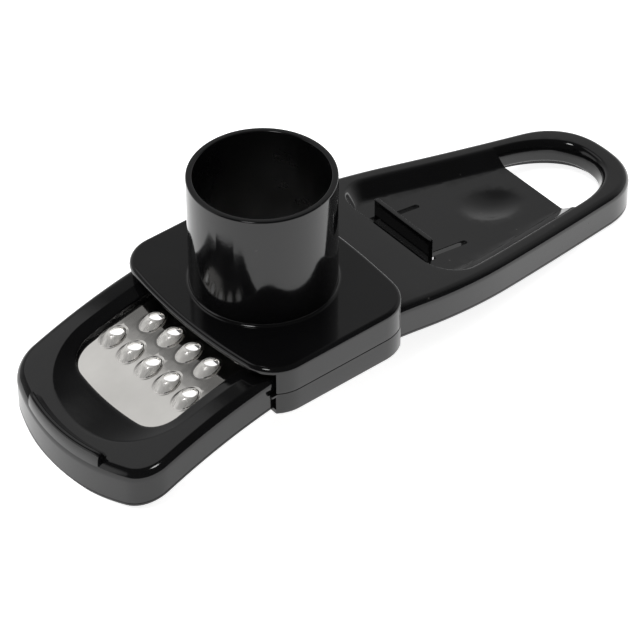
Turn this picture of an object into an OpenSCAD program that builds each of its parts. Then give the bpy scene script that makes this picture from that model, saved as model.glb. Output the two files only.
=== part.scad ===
// Hand grater for garlic and ginger: a hopper carriage that slides over an arched toothed blade.
// Millimetres, +Z up, +X towards the handle. The origin is on the table, at the middle of the length.

/* [Track] */
// Radius of the arched top face that the carriage runs on
track_r = 167; // [160:1:176]
// How far the top of the arch lies behind the hopper axis, in degrees of arc
track_lead = 0.5; // [0:0.1:1]
// Thickness of the base from top face to bottom edge
base_t = 10; // [9.6:0.1:10.2]
// Half width of the base along the tray
base_half_w = 30; // [29.5:0.1:30.2]
// Front tip of the base, ahead of the hopper axis
front_x = 69.2; // [67:0.2:69.6]
// Arc length from the hopper axis to where the arch turns into the handle
track_end = 30.8; // [29:0.2:32]

/* [Tray and blade] */
// Thickness of the tray's top skin, down to the blade
skin_t = 2.8; // [2.4:0.1:3]
// Half width of the window that shows the blade
window_half_w = 19.5; // [19:0.1:20]
// Thickness of the steel blade
blade_t = 0.5; // [0.4:0.1:0.6]
// Distance between teeth in a row
tooth_pitch = 7.93; // [7.6:0.01:8.2]
// Distance between rows of teeth
row_pitch = 10.6; // [10:0.1:11]
// Number of rows of teeth
rows = 6; // [4:1:6]
// Height of a tooth above the blade
tooth_h = 1.7; // [1.4:0.1:1.9]

/* [Handle] */
// Far end of the handle, behind the hopper axis
handle_x = 126.6; // [124:0.2:130]
// Radius of the slight upward curve of the handle
handle_r = 1380; // [1300:10:1460]
// Taper of each side of the handle, in degrees
handle_taper = 9.48; // [9:0.02:10]
// Depth of the thumb recess
recess_d = 3.9; // [3.4:0.1:4.2]
// Width of the rim beside the recess and round the hanging hole
rim_w = 5.6; // [5:0.1:6]
// Height of the stop tab above the top face
tab_h = 2.7; // [2.3:0.1:2.8]

/* [Carriage] */
// Outer diameter of the hopper tube
hopper_d = 40; // [39:0.5:41]
// Wall of the hopper tube
hopper_wall = 1.8; // [1.4:0.1:2]
// Height of the hopper tube above the carriage
hopper_h = 35; // [25:1:45]
// Width of the carriage across the base
carriage_w = 66.6; // [66:0.1:68]
// Length of the carriage along its middle
carriage_l = 54.6; // [54:0.1:55]
// Depth of the carriage from top face to bottom face
carriage_t = 15.6; // [15.5:0.1:16]
// Depth of the seam between the two shells
seam_d = 8.4; // [8:0.1:9]
// Thickness of the carriage's top plate
plate_t = 1.6; // [1.4:0.1:1.6]

/* [Hidden] */
$fn = 96;

black = [0.07, 0.07, 0.075];
steel = [0.76, 0.75, 0.72];
arc_fn = 720;

// Heights here are measured down from the carriage's top face, and x from the hopper axis
apex_drop = 2.5;              // top of the arch below the carriage's top face
front_land = 0.9;             // how much the front tip is flattened where it stands
run_gap = 0.2;                // clearance between the carriage and the base
track_cx = track_r * sin(track_lead);
track_cz = -apex_drop - track_r;
base_r = track_r - base_t;    // radius of the base's bottom edge
wall_t = 3;                   // side walls of the base under the skin

// The table, the middle of the length and the shift into the part's own frame
table_z = track_cz + sqrt(pow(base_r, 2) - pow(front_x + track_cx, 2)) + front_land;
middle_x = (handle_x - front_x) / 2;

// The handle is an arc with its centre far above, tangent to the end of the track
track_end_a = track_end / track_r * 180 / PI - track_lead;
handle_cx = track_cx + (track_r + handle_r) * sin(track_end_a);
handle_cz = track_cz + (track_r + handle_r) * cos(track_end_a);
function along_handle(s) = handle_cx + handle_r * sin((s - track_end) / handle_r * 180 / PI - track_end_a);
function top_z(x) = handle_cz - sqrt(pow(handle_r, 2) - pow(handle_cx - x, 2));

// Steps of the side profile along the track and along the handle, and the handle's sweep in degrees
steps_track = 60;
steps_handle = 16;
handle_sweep = 4.6;

// Plan of the tray's front end
front_bulge = 65;
front_corner = 10;

// Blade, its window and its fixing
window_front_x = -52.6;
window_back_x = 24;
blade_front_x = -57.5;
blade_back_x = 29;
blade_half_w = 23.8;
pocket_front_x = 65.6;
pocket_back_x = 32;
stake_r = 1;
stake_x = [-46, -10, 26];
stake_y = 21.7;
retainer_t = 1.5;
tooth_r = 2.35;
first_row = -38.5;

// Front lug, a raised stop for the carriage
lug_h = 2.9;
lug_w = 30.6;
lug_t = 2.2;

// Thumb recess, hanging hole and stop latch
recess_s = 44;
recess_corner = 9;
hole_s = 98.6;
hole_end_gap = 7.8;
loop_inner_t = 6.7;
loop_hollow_w = 2.2;
panel_t = 1.9;
dimple_s = 82.5;
dimple_l = 17;
dimple_w = 12;
dimple_d = 0.9;
tab_s = 48.7;
tab_t = 1.5;
tab_w = 23.4;
slit_y = 10.2;
slit_w = 1.7;
latch_root_s = 63.2;
latch_gap = 0.6;
latch_front_gap = 1.1;        // more room in front, because the tab swings forwards as it is pressed
root_gap = 0.04;
slit_past_root = 0.3;

// Carriage
front_arc = 148;
back_arc = 230;
carriage_corner = 11;
channel_half_w = 31.2;
ledge_half_w = base_half_w + 0.25;
ledge_t = 0.9;
lip_t = 0.9;
lip_h = 1;
floor_reach = 20.6;
floor_window_l = 34;
floor_window_w = 46;
stop_lip_x = 26;
stop_lip_t = 1.6;
stop_lip_w = 28;
stop_lip_gap = 1.3;
guide_y = 25.6;
guide_w = 2.6;
guide_l = 24;
hopper_r = hopper_d / 2;
hopper_bore_r = hopper_r - hopper_wall;
foot_r = 1;

// ---- plans ----

// One convex end facing -X, from its +Y side round to its -Y side
function round_end(tip, half, bulge, corner, n = 8) =
    let (cx = bulge - tip,
         ky = half - corner,
         kx = cx - sqrt(pow(bulge - corner, 2) - pow(ky, 2)),
         a = atan2(ky, cx - kx),
         side = [for (i = [0:n])
             let (t = 90 + (90 - a) * i / n)
             [kx + corner * cos(t), ky + corner * sin(t)]],
         nose = [for (i = [1:2 * n - 1])
             let (t = 180 - a + a * i / n)
             [cx + bulge * cos(t), bulge * sin(t)]])
    concat(side, nose, flip_y(reversed(side)));

function reversed(p) = [for (i = [len(p) - 1:-1:0]) p[i]];
function flip_y(p) = [for (q = p) [q[0], -q[1]]];
function flip_x(p) = [for (q = p) [-q[0], q[1]]];

// Half width of the base behind the tray: straight, a long bend, a straight taper, then a blunt round end
bend_r = 195;
bend_x = 48.3;
bend_run = bend_r * tan(handle_taper / 2);
function side_line(x) =
    x < bend_x - bend_run ? base_half_w :
    x < bend_x + bend_run * cos(handle_taper)
        ? base_half_w - bend_r + sqrt(pow(bend_r, 2) - pow(x - bend_x + bend_run, 2))
        : base_half_w - (x - bend_x) * tan(handle_taper);
function blunt(x, from, to) = x <= from ? 1 : pow(1 - pow(min(1, (x - from) / (to - from)), 2.5), 0.4);
function handle_half_w(x) = side_line(x) * blunt(x, handle_x - 17.2, handle_x);

// Points of one side where the half width follows a function, closer together near the end
function ease(i, n, from, to) = from + (to - from) * sin(90 * i / n);
base_side = [for (i = [1:28]) let (x = ease(i, 28, bend_x - bend_run, handle_x)) [x, handle_half_w(x)]];
function loop_side(grow) = [for (i = [0:24])
    let (x = ease(i, 24, along_handle(hole_s), handle_x - hole_end_gap + grow))
    [x, (side_line(x) - rim_w + grow) * blunt(x, handle_x - 26, handle_x - hole_end_gap + grow)]];

module base_plan() {
    front = round_end(front_x, base_half_w, front_bulge, front_corner);
    back = concat(flip_y(base_side), reversed([for (i = [0:len(base_side) - 2]) base_side[i]]));
    polygon(concat(front, back));
}

// The recess follows the handle's sides at the rim's width, with a straight front and round front corners
module recess_plan(inset = 0) {
    x0 = along_handle(recess_s) + inset;
    c = recess_corner - inset;
    x1 = along_handle(hole_s);
    xs = [for (i = [1:10]) x0 + c + (x1 - x0 - c) * i / 10];
    y0 = side_line(x0 + c) - rim_w - inset;
    corner = [for (i = [0:6]) let (a = 15 * i) [x0 + c - c * cos(a), y0 - c + c * sin(a)]];
    side = concat(corner, [for (x = xs) [x, side_line(x) - rim_w - inset]]);
    // the end steps in, well inside the hanging hole
    end = [[x1, side_line(x1) - rim_w - 2], [x1 + 2, side_line(x1) - rim_w - 2]];
    polygon(concat(side, end, reversed(flip_y(end)), reversed(flip_y(side))));
}

module loop_plan(grow = 0) {
    polygon(concat(loop_side(grow), reversed(flip_y(loop_side(grow)))));
}

module window_plan(grow = 0) {
    front = round_end(-window_front_x + grow, window_half_w + grow, 90, 8 + grow);
    back = flip_x(round_end(window_back_x + grow, window_half_w + grow, 90, 8 + grow));
    polygon(concat(front, reversed(back)));
}

module carriage_plan() {
    front = round_end(carriage_l / 2, carriage_w / 2, front_arc, carriage_corner);
    back = flip_x(round_end(carriage_l / 2, carriage_w / 2, back_arc, carriage_corner));
    polygon(concat(front, reversed(back)));
}

// ---- shared solids ----

// Everything is drawn from the carriage's top face and the hopper axis, then stood on the table
module stand() {
    translate([-middle_x, 0, -table_z]) children();
}

// A curved bar about the track's centre, between two radii and two angles from the vertical
module track_arc(r0, r1, w, a0, a1) {
    translate([track_cx, 0, track_cz])
        rotate([90, 0, 0])
            rotate([0, 0, 90 - a1])
                rotate_extrude(angle = a1 - a0, $fn = arc_fn)
                    translate([r0, -w / 2]) square([r1 - r0, w]);
}

// The same for the handle: between two depths below its top face
module handle_arc(d0, d1, w, a0, a1) {
    translate([handle_cx, 0, handle_cz])
        rotate([90, 0, 0])
            rotate([0, 0, a0 - 90])
                rotate_extrude(angle = a1 - a0, $fn = 4 * arc_fn)
                    translate([handle_r + d0, -w / 2]) square([d1 - d0, w]);
}

// Both again, cut square between two x limits
module track_bar(r0, r1, w, x0, x1) {
    intersection() {
        track_arc(r0, r1, w, asin((x0 - track_cx) / r0) - 2, asin((x1 - track_cx) / r0) + 2);
        translate([x0, -w, -60]) cube([x1 - x0, 2 * w, 80]);
    }
}

module handle_bar(d0, d1, w, x0, x1) {
    intersection() {
        handle_arc(d0, d1, w, asin((x0 - handle_cx) / handle_r) - 0.4, asin((x1 - handle_cx) / handle_r) + 0.4);
        translate([x0, -w, -60]) cube([x1 - x0, 2 * w, 80]);
    }
}

// Where the track's arc turns into the handle's, on the top face
join_x = track_cx + track_r * sin(track_end_a);

module prism(z0 = -60, z1 = 40) {
    translate([0, 0, z0]) linear_extrude(z1 - z0) children();
}

module stakes(r, z0, z1) {
    for (x = stake_x, s = [-1, 1])
        translate([x, s * stake_y, z0]) cylinder(h = z1 - z0, r = r, $fn = 24);
}

// ---- base ----

// Side profile of the base: the arch of the track running straight into the curve of the handle
function track_point(r, a) = [track_cx + r * sin(a), track_cz + r * cos(a)];
function handle_point(d, a) = [handle_cx + (handle_r + d) * sin(a), handle_cz - (handle_r + d) * cos(a)];
function side_edge(d) = concat(
    [for (i = [0:steps_track]) track_point(track_r - d, -30 + (track_end_a + 30) * i / steps_track)],
    [for (i = [1:steps_handle]) handle_point(d, -track_end_a + handle_sweep * i / steps_handle)]);

module base_body() {
    w = 2 * base_half_w + 2;
    intersection() {
        rotate([90, 0, 0])
            linear_extrude(w, center = true)
                polygon(concat(side_edge(0), reversed(side_edge(base_t))));
        prism() base_plan();
        translate([-100, -50, table_z]) cube([300, 100, 100]);
    }
}

module front_lug() {
    intersection() {
        track_bar(track_r - 1, track_r + lug_h, lug_w, -front_x - 1, -front_x + 8);
        prism() difference() {
            base_plan();
            translate([lug_t, 0]) base_plan();
        }
    }
}

// The tongue; with no gap it stops just short of its root
module latch_outline(gap, front = 0) {
    x0 = along_handle(tab_s) - front;
    x1 = along_handle(latch_root_s) - slit_past_root - (gap > 0 ? 0 : root_gap);
    translate([x0, -slit_y + slit_w / 2 - gap])
        square([x1 - x0, 2 * slit_y - slit_w + 2 * gap]);
}

module base_frame() {
    pocket_w = 2 * (base_half_w - wall_t);
    color(black) stand() {
        difference() {
            union() {
                base_body();
                front_lug();
            }
            // hollow under the tray, up to the skin
            intersection() {
                track_bar(base_r - 5, track_r - skin_t, pocket_w, -pocket_front_x, pocket_back_x);
                prism() round_pocket_plan();
            }
            // window over the blade
            prism() window_plan();
            // thumb recess and the hollow under its panel
            intersection() {
                handle_bar(-5, recess_d, 60, join_x + 5, handle_x);
                prism() recess_plan();
            }
            intersection() {
                handle_bar(recess_d + panel_t, base_t + 5, 60, join_x + 5, along_handle(hole_s) - 3);
                prism() recess_plan(1.5);
            }
            // hanging hole, with the loop's inner part hollow underneath
            prism() loop_plan();
            intersection() {
                handle_bar(loop_inner_t, base_t + 5, 80, along_handle(hole_s) + 1, handle_x);
                prism() loop_plan(loop_hollow_w);
            }
            // the flat behind the carriage is hollow underneath too
            handle_bar(skin_t, base_t + 5, pocket_w, pocket_back_x + wall_t, along_handle(recess_s) - wall_t);
            // room for the latch: a slot under the tab and a slit on each side
            prism() latch_outline(latch_gap, latch_front_gap);
            prism() latch_slits();
            prism() tab_slot();
            // thumb dimple: a shallow oval hollow
            thumb_dimple();
        }
        blade_stakes();
    }
}

module round_pocket_plan() {
    front = round_end(pocket_front_x, base_half_w - wall_t, front_bulge - wall_t, front_corner - wall_t);
    back = [[pocket_back_x, -base_half_w + wall_t], [pocket_back_x, base_half_w - wall_t]];
    polygon(concat(front, back));
}

module latch_slits() {
    x0 = along_handle(tab_s) - latch_front_gap;
    x1 = along_handle(latch_root_s);
    for (s = [-1, 1]) {
        translate([x0, s * slit_y - slit_w / 2]) square([x1 - x0, slit_w]);
        translate([x1, s * slit_y]) circle(r = slit_w / 2, $fn = 24);
    }
}

module tab_slot() {
    translate([along_handle(tab_s) - latch_front_gap, -tab_w / 2 - latch_gap])
        square([latch_front_gap + tab_t + 1.5 * latch_gap, tab_w + 2 * latch_gap]);
}

module thumb_dimple() {
    major = pow(dimple_l / 2, 2) / (2 * dimple_d);
    minor = pow(dimple_w / 2, 2) / (2 * dimple_d);
    x = along_handle(dimple_s);
    translate([x, 0, top_z(x) - recess_d - dimple_d + major])
        rotate([90, 0, 0])
            rotate_extrude($fn = arc_fn)
                translate([major - minor, 0]) rotate(90) circle(r = minor, $fn = arc_fn);
}

module blade_stakes() {
    intersection() {
        stakes(stake_r, -30, 0);
        track_bar(track_r - skin_t - blade_t - retainer_t - 0.6, track_r - skin_t + 0.2, 60, -60, 35);
    }
}

// ---- blade and its retainer ----

module blade_plan() {
    translate([blade_front_x, -blade_half_w])
        square([blade_back_x - blade_front_x, 2 * blade_half_w]);
}

// Where each tooth stands: x along the arc, y across, and its angle from the vertical
function tooth_places() = [for (r = [0:rows - 1])
    let (n = 5 - r % 2, a = (first_row + r * row_pitch) / track_r * 180 / PI - track_lead)
    for (i = [0:n - 1]) [a, (i - (n - 1) / 2) * tooth_pitch]];

module at_teeth() {
    for (p = tooth_places())
        translate([track_cx, p[1], track_cz])
            rotate([0, p[0], 0])
                translate([0, 0, track_r - skin_t]) children();
}

// A tooth is a low dome of sheet with its rear part open
tooth_sphere_r = (pow(tooth_r, 2) + pow(tooth_h, 2)) / (2 * tooth_h);

module tooth_cap(extra) {
    intersection() {
        translate([0, 0, tooth_h - tooth_sphere_r]) sphere(r = tooth_sphere_r + extra, $fn = 48);
        translate([0, 0, -blade_t - 0.2]) cylinder(h = tooth_h + blade_t + 0.4, r = tooth_r - 0.1, $fn = 48);
    }
}

module grater_blade() {
    color(steel) stand() {
        difference() {
            union() {
                difference() {
                    intersection() {
                        track_bar(track_r - skin_t - blade_t, track_r - skin_t,
                                  2 * blade_half_w, blade_front_x, blade_back_x);
                        prism() blade_plan();
                    }
                    stakes(stake_r + 0.1, -30, 0);
                }
                at_teeth() difference() {
                    tooth_cap(0);
                    translate([0, 0, -5 - blade_t]) cylinder(h = 5, r = 6, $fn = 24);
                }
            }
            // hollow of each tooth and its open rear
            at_teeth() tooth_cap(-blade_t);
            at_teeth() translate([0.8, -1.3, -blade_t - 1]) cube([1.5, 2.6, tooth_h + blade_t + 2]);
        }
    }
}

module blade_retainer() {
    color(black) stand() {
        difference() {
            track_bar(track_r - skin_t - blade_t - retainer_t, track_r - skin_t - blade_t,
                      2 * blade_half_w, blade_front_x, blade_back_x);
            prism() window_plan(0.2);
            stakes(stake_r + 0.1, -30, 0);
        }
    }
}

// ---- stop latch: a sprung tongue in the thumb panel that carries the upright tab ----

module stop_latch() {
    x0 = along_handle(tab_s);
    color(black) stand() {
        intersection() {
            handle_bar(recess_d, recess_d + panel_t, 60, join_x, handle_x);
            prism() latch_outline(0);
        }
        intersection() {
            handle_bar(-tab_h, recess_d + panel_t, tab_w, join_x, handle_x);
            prism() translate([x0, -tab_w / 2]) square([tab_t, tab_w]);
        }
    }
}

// ---- carriage ----

module hopper_tube() {
    rotate_extrude($fn = 144) {
        translate([hopper_bore_r, -plate_t]) square([hopper_wall, hopper_h + plate_t]);
        // small round foot where the tube grows out of the plate
        difference() {
            translate([hopper_r - 0.1, -0.1]) square(foot_r + 0.1);
            translate([hopper_r + foot_r, foot_r]) circle(r = foot_r, $fn = 48);
        }
    }
    // short skirt under the plate, trimmed to the arch
    difference() {
        translate([0, 0, -apex_drop]) cylinder(h = apex_drop - plate_t + 0.1, r = hopper_bore_r + 1.2, $fn = 144);
        translate([0, 0, -apex_drop - 1]) cylinder(h = apex_drop + 1, r = hopper_bore_r, $fn = 144);
        track_bar(base_r, track_r + 0.3, 80, -30, 30);
    }
}

// Ribs under the plate that ride on the rims, and lips that meet the front lug and the tab
module carriage_runners() {
    difference() {
        for (s = [-1, 1])
            translate([-guide_l / 2, s * guide_y - guide_w / 2, -7]) cube([guide_l, guide_w, 7 - plate_t + 0.1]);
        track_bar(base_r, track_r + run_gap, 80, -40, 40);
    }
    difference() {
        for (s = [-1, 1])
            translate([s * (stop_lip_x - stop_lip_t / 2) - stop_lip_t / 2, -stop_lip_w / 2, -7])
                cube([stop_lip_t, stop_lip_w, 7 - plate_t + 0.1]);
        track_bar(base_r, track_r + stop_lip_gap, 80, -40, 40);
    }
}

module slider_upper_shell() {
    color(black) stand() {
        difference() {
            prism(-seam_d, 0) carriage_plan();
            translate([-50, -channel_half_w, -seam_d - 1])
                cube([100, 2 * channel_half_w, seam_d + 1 - plate_t]);
            translate([0, 0, -plate_t - 1]) cylinder(h = plate_t + 2, r = hopper_bore_r, $fn = 144);
        }
        hopper_tube();
        carriage_runners();
    }
}

module slider_lower_shell() {
    color(black) stand() {
        difference() {
            prism(-carriage_t, -seam_d) carriage_plan();
            // channel for the base, its floor shaped to the arch
            intersection() {
                translate([-50, -channel_half_w, -carriage_t - 1])
                    cube([100, 2 * channel_half_w, carriage_t]);
                track_bar(base_r - run_gap, track_r, 80, -40, 40);
            }
            // the floor stops short of the shells' front and back edges
            for (s = [-1, 1])
                translate([s * (floor_reach + 10) - 10, -channel_half_w, -carriage_t - 1])
                    cube([20, 2 * channel_half_w, carriage_t]);
            // the grated food drops through
            translate([-floor_window_l / 2, -floor_window_w / 2, -carriage_t - 1])
                cube([floor_window_l, floor_window_w, carriage_t]);
        }
        // ledge at the seam that guides the base, with the lip that locates the upper shell
        intersection() {
            for (s = [-1, 1]) {
                translate([-30, s * (ledge_half_w + channel_half_w + 0.1) / 2 - (channel_half_w + 0.1 - ledge_half_w) / 2,
                           -seam_d - ledge_t])
                    cube([60, channel_half_w + 0.1 - ledge_half_w, ledge_t]);
                translate([-18, s * (channel_half_w - 0.05 - lip_t / 2) - lip_t / 2, -seam_d - 0.1])
                    cube([36, lip_t, lip_h + 0.1]);
            }
            prism() carriage_plan();
        }
    }
}

base_frame();
grater_blade();
blade_retainer();
stop_latch();
slider_upper_shell();
slider_lower_shell();
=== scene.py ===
import math

import bmesh
import bpy
import numpy as np
from mathutils import Matrix, Vector
from mathutils.geometry import delaunay_2d_cdt


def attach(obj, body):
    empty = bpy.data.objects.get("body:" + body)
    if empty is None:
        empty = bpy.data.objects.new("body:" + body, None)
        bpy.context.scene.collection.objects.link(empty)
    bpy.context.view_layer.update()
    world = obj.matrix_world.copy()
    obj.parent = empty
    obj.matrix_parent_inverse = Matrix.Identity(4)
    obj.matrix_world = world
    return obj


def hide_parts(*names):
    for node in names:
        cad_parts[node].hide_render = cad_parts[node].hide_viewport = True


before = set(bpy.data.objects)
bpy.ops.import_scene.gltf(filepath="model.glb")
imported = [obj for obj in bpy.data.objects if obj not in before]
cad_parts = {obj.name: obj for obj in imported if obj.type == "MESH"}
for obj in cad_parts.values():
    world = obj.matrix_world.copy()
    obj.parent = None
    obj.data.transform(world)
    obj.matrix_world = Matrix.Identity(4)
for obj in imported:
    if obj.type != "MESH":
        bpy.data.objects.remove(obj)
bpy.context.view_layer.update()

# ---------------------------------------------------------------------------
# The object's own numbers, in millimetres. x runs from the hopper's axis towards
# the handle and z from the carriage's top face; part() moves a point into the frame.
# ---------------------------------------------------------------------------
TRACK_R, TRACK_LEAD, BASE_T, BASE_HALF_W = 167.0, math.radians(0.5), 10.0, 30.0
FRONT_X, HANDLE_X, TRACK_END, HANDLE_R = 69.2, 126.6, 30.8, 1380.0
TAPER = math.radians(9.48)
TRACK_CX, TRACK_CZ = TRACK_R * math.sin(TRACK_LEAD), -2.5 - TRACK_R
TABLE_Z = TRACK_CZ + math.sqrt((TRACK_R - BASE_T) ** 2 - (FRONT_X + TRACK_CX) ** 2) + 0.9
MIDDLE_X = (HANDLE_X - FRONT_X) / 2
END_A = TRACK_END / TRACK_R - TRACK_LEAD
HANDLE_CX = TRACK_CX + (TRACK_R + HANDLE_R) * math.sin(END_A)
HANDLE_CZ = TRACK_CZ + (TRACK_R + HANDLE_R) * math.cos(END_A)
SKIN, BLADE_T, RECESS_D, PANEL_T = 2.8, 0.5, 3.9, 1.9
SEAM, CARRIAGE_T, PLATE, CHANNEL = 8.4, 15.6, 1.6, 31.2


def part(x, y, z):
    """A point in the frame, in metres."""
    return ((x - MIDDLE_X) * 0.001, y * 0.001, (z - TABLE_Z) * 0.001)


def along(s):
    """x on the handle after a length s along the top face."""
    return HANDLE_CX + HANDLE_R * math.sin((s - TRACK_END) / HANDLE_R - END_A)


def surface_z(x, d):
    """Height of the surface d below the base's top face: the arch, then the handle's slow curve."""
    r = TRACK_R - d
    if x <= TRACK_CX + r * math.sin(END_A):
        return TRACK_CZ + math.sqrt(max(r * r - (x - TRACK_CX) ** 2, 0.0))
    return HANDLE_CZ - math.sqrt((HANDLE_R + d) ** 2 - (HANDLE_CX - x) ** 2)


def on_base(x, y, d):
    return part(x, y, max(surface_z(x, d), TABLE_Z))


# ---------------------------------------------------------------------------
# Mesh building: rings joined by strips, and flat or curved areas filled between loops
# ---------------------------------------------------------------------------
class Shell:
    def __init__(self):
        self.points, self.faces = [], []

    def strip(self, rings, closed=True):
        """Joins rings of equal length, one after the other."""
        n, start = len(rings[0]), len(self.points)
        for ring in rings:
            self.points += list(ring)
        for k in range(len(rings) - 1):
            for i in range(n if closed else n - 1):
                a, b = start + k * n + i, start + k * n + (i + 1) % n
                self.faces.append((a, b, b + n, a + n))

    def cap(self, ring):
        """Closes an end with one face."""
        start = len(self.points)
        self.points += list(ring)
        self.faces.append(tuple(range(start, start + len(ring))))

    def area(self, outer, holes, lift, step=(3.0, 3.0), extra=(), gap=0.35):
        """Fills the plan area between loops with triangles; lift turns (x, y) into a point."""
        loops = [list(outer)] + [list(h) for h in holes]
        flat, edges = [], []
        for loop in loops:
            s = len(flat)
            flat += loop
            edges += [(s + i, s + (i + 1) % len(loop)) for i in range(len(loop))]
        arrays = [np.array(loop, float) for loop in loops]
        lo, hi = arrays[0].min(0), arrays[0].max(0)
        if step:
            gx = np.arange(lo[0] + step[0] / 2, hi[0], step[0])
            gy = np.arange(-step[1] * math.floor(-lo[1] / step[1]), hi[1], step[1])
            grid = np.array([(x, y) for x in gx for y in gy] + list(extra)).reshape(-1, 2)
            keep = inside(grid, arrays[0])
            for h in arrays[1:]:
                keep &= ~inside(grid, h)
            for loop in arrays:
                nxt = np.roll(loop, -1, 0)
                for p0, p1 in zip(loop, nxt):
                    e = p1 - p0
                    t = np.clip(((grid - p0) @ e) / max(e @ e, 1e-12), 0, 1)
                    keep &= np.hypot(*(grid - p0 - t[:, None] * e).T) > gap * min(step)
            flat += [tuple(p) for p in grid[keep]]
        vs, _, tris, *_ = delaunay_2d_cdt([Vector(p) for p in flat], edges, [], 0, 1e-6)
        c = np.array([[sum(vs[i][k] for i in t) / 3 for k in (0, 1)] for t in tris])
        keep = inside(c, arrays[0])
        for h in arrays[1:]:
            keep &= ~inside(c, h)
        # three points in a line on a straight edge make no triangle
        corners = np.array([[vs[i] for i in t] for t in tris])
        p0, p1, p2 = corners[:, 0], corners[:, 1], corners[:, 2]
        twice_area = np.abs((p1 - p0)[:, 0] * (p2 - p0)[:, 1] - (p1 - p0)[:, 1] * (p2 - p0)[:, 0])
        longest = np.max([np.hypot(*(a - b).T) for a, b in ((p0, p1), (p1, p2), (p2, p0))], 0)
        keep &= twice_area > 1e-4 * longest
        s = len(self.points)
        self.points += [lift(v[0], v[1]) for v in vs]
        self.faces += [tuple(s + i for i in t) for t, k in zip(tris, keep) if k]

    def build(self, name, sharp=32.0, weld=4e-6):
        mesh = bpy.data.meshes.new(name)
        mesh.from_pydata([tuple(p) for p in self.points], [], self.faces)
        bm = bmesh.new()
        bm.from_mesh(mesh)
        bmesh.ops.remove_doubles(bm, verts=bm.verts, dist=weld)
        bmesh.ops.dissolve_degenerate(bm, edges=bm.edges, dist=1e-7)
        loose = [v for v in bm.verts if not v.link_faces]
        bmesh.ops.delete(bm, geom=loose, context="VERTS")
        bmesh.ops.recalc_face_normals(bm, faces=bm.faces)
        bm.to_mesh(mesh)
        bm.free()
        obj = bpy.data.objects.new(name, mesh)
        bpy.context.scene.collection.objects.link(obj)
        smooth(obj, sharp)
        return obj


def smooth(obj, sharp):
    """Shades smooth, with an edge kept where the faces turn by more than sharp degrees."""
    mesh = obj.data
    mesh.polygons.foreach_set("use_smooth", [True] * len(mesh.polygons))
    bm = bmesh.new()
    bm.from_mesh(mesh)
    for e in bm.edges:
        e.smooth = len(e.link_faces) != 2 or e.calc_face_angle(0) < math.radians(sharp)
    bm.to_mesh(mesh)
    bm.free()


def inside(points, loop):
    """Which of the points lie in the polygon."""
    x, y = points[:, 0], points[:, 1]
    result = np.zeros(len(points), bool)
    nxt = np.roll(loop, -1, 0)
    for (x0, y0), (x1, y1) in zip(loop, nxt):
        cross = (y0 > y) != (y1 > y)
        if y1 != y0:
            result ^= cross & (x < (x1 - x0) * (y - y0) / (y1 - y0) + x0)
    return result


def inset(loop, distance):
    """The loop moved inwards; distance is a number or one number a point. The loop runs anticlockwise."""
    p = np.array(loop, float)
    d = np.broadcast_to(np.array(distance, float), (len(p),))
    e = np.roll(p, -1, 0) - p
    e /= np.maximum(np.hypot(*e.T)[:, None], 1e-9)
    n = np.stack([-e[:, 1], e[:, 0]], 1)
    m = n + np.roll(n, 1, 0)
    m /= np.hypot(*m.T)[:, None]
    k = 1 / np.maximum((m * n).sum(1), 0.5)
    return [tuple(q) for q in p + m * (d * k)[:, None]]


def anticlockwise(loop):
    p = np.array(loop, float)
    q = np.roll(p, -1, 0)
    return list(loop) if (p[:, 0] * q[:, 1] - q[:, 0] * p[:, 1]).sum() > 0 else list(loop)[::-1]


def round_end(tip, half, bulge, corner, n=10):
    """A convex end facing -x, from its +y side round to its -y side."""
    cx, ky = bulge - tip, half - corner
    kx = cx - math.sqrt((bulge - corner) ** 2 - ky ** 2)
    a = math.atan2(ky, cx - kx)
    side = [(kx + corner * math.cos(t), ky + corner * math.sin(t))
            for t in (math.pi / 2 + (math.pi / 2 - a) * i / n for i in range(n + 1))]
    nose = [(cx + bulge * math.cos(t), bulge * math.sin(t))
            for t in (math.pi - a + a * i / n for i in range(1, 2 * n))]
    return side + nose + [(x, -y) for x, y in reversed(side)]


def spaced(p, q, step):
    """Points strictly between p and q, about step apart."""
    n = max(1, round(math.dist(p, q) / step))
    return [(p[0] + (q[0] - p[0]) * i / n, p[1] + (q[1] - p[1]) * i / n) for i in range(1, n)]


def between(a, b, f):
    """The loop that lies a share f of the way from loop a to loop b."""
    return [(p[0] + (q[0] - p[0]) * f, p[1] + (q[1] - p[1]) * f) for p, q in zip(a, b)]


def two_ended(front, back, count=24):
    """A loop from two ends written as round_end would; count points on each straight side."""
    back = [(-x, y) for x, y in reversed(back)]

    def side(p, q):
        return [(p[0] + (q[0] - p[0]) * i / (count + 1), p[1] + (q[1] - p[1]) * i / (count + 1))
                for i in range(1, count + 1)]
    return anticlockwise(front + side(front[-1], back[0]) + back + side(back[-1], front[0]))


# ---------------------------------------------------------------------------
# Outlines of the base in plan
# ---------------------------------------------------------------------------
FRONT_BULGE, BEND_R, BEND_X = 65, 195.0, 48.3
TIP_L, LOOP_TIP_L = 17.2, 26
BEND_RUN = BEND_R * math.tan(TAPER / 2)


def side_line(x):
    """Half width of the base at x: straight, then a long bend into the handle's taper."""
    if x < BEND_X - BEND_RUN:
        return BASE_HALF_W
    if x < BEND_X + BEND_RUN * math.cos(TAPER):
        return BASE_HALF_W - BEND_R + math.sqrt(BEND_R ** 2 - (x - BEND_X + BEND_RUN) ** 2)
    return BASE_HALF_W - (x - BEND_X) * math.tan(TAPER)


def blunt(x, start, end):
    """Share of the width left at x on the way round a blunt tip."""
    u = min(1.0, max(0.0, (x - start) / (end - start)))
    return (1 - u ** 2.5) ** 0.4


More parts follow.
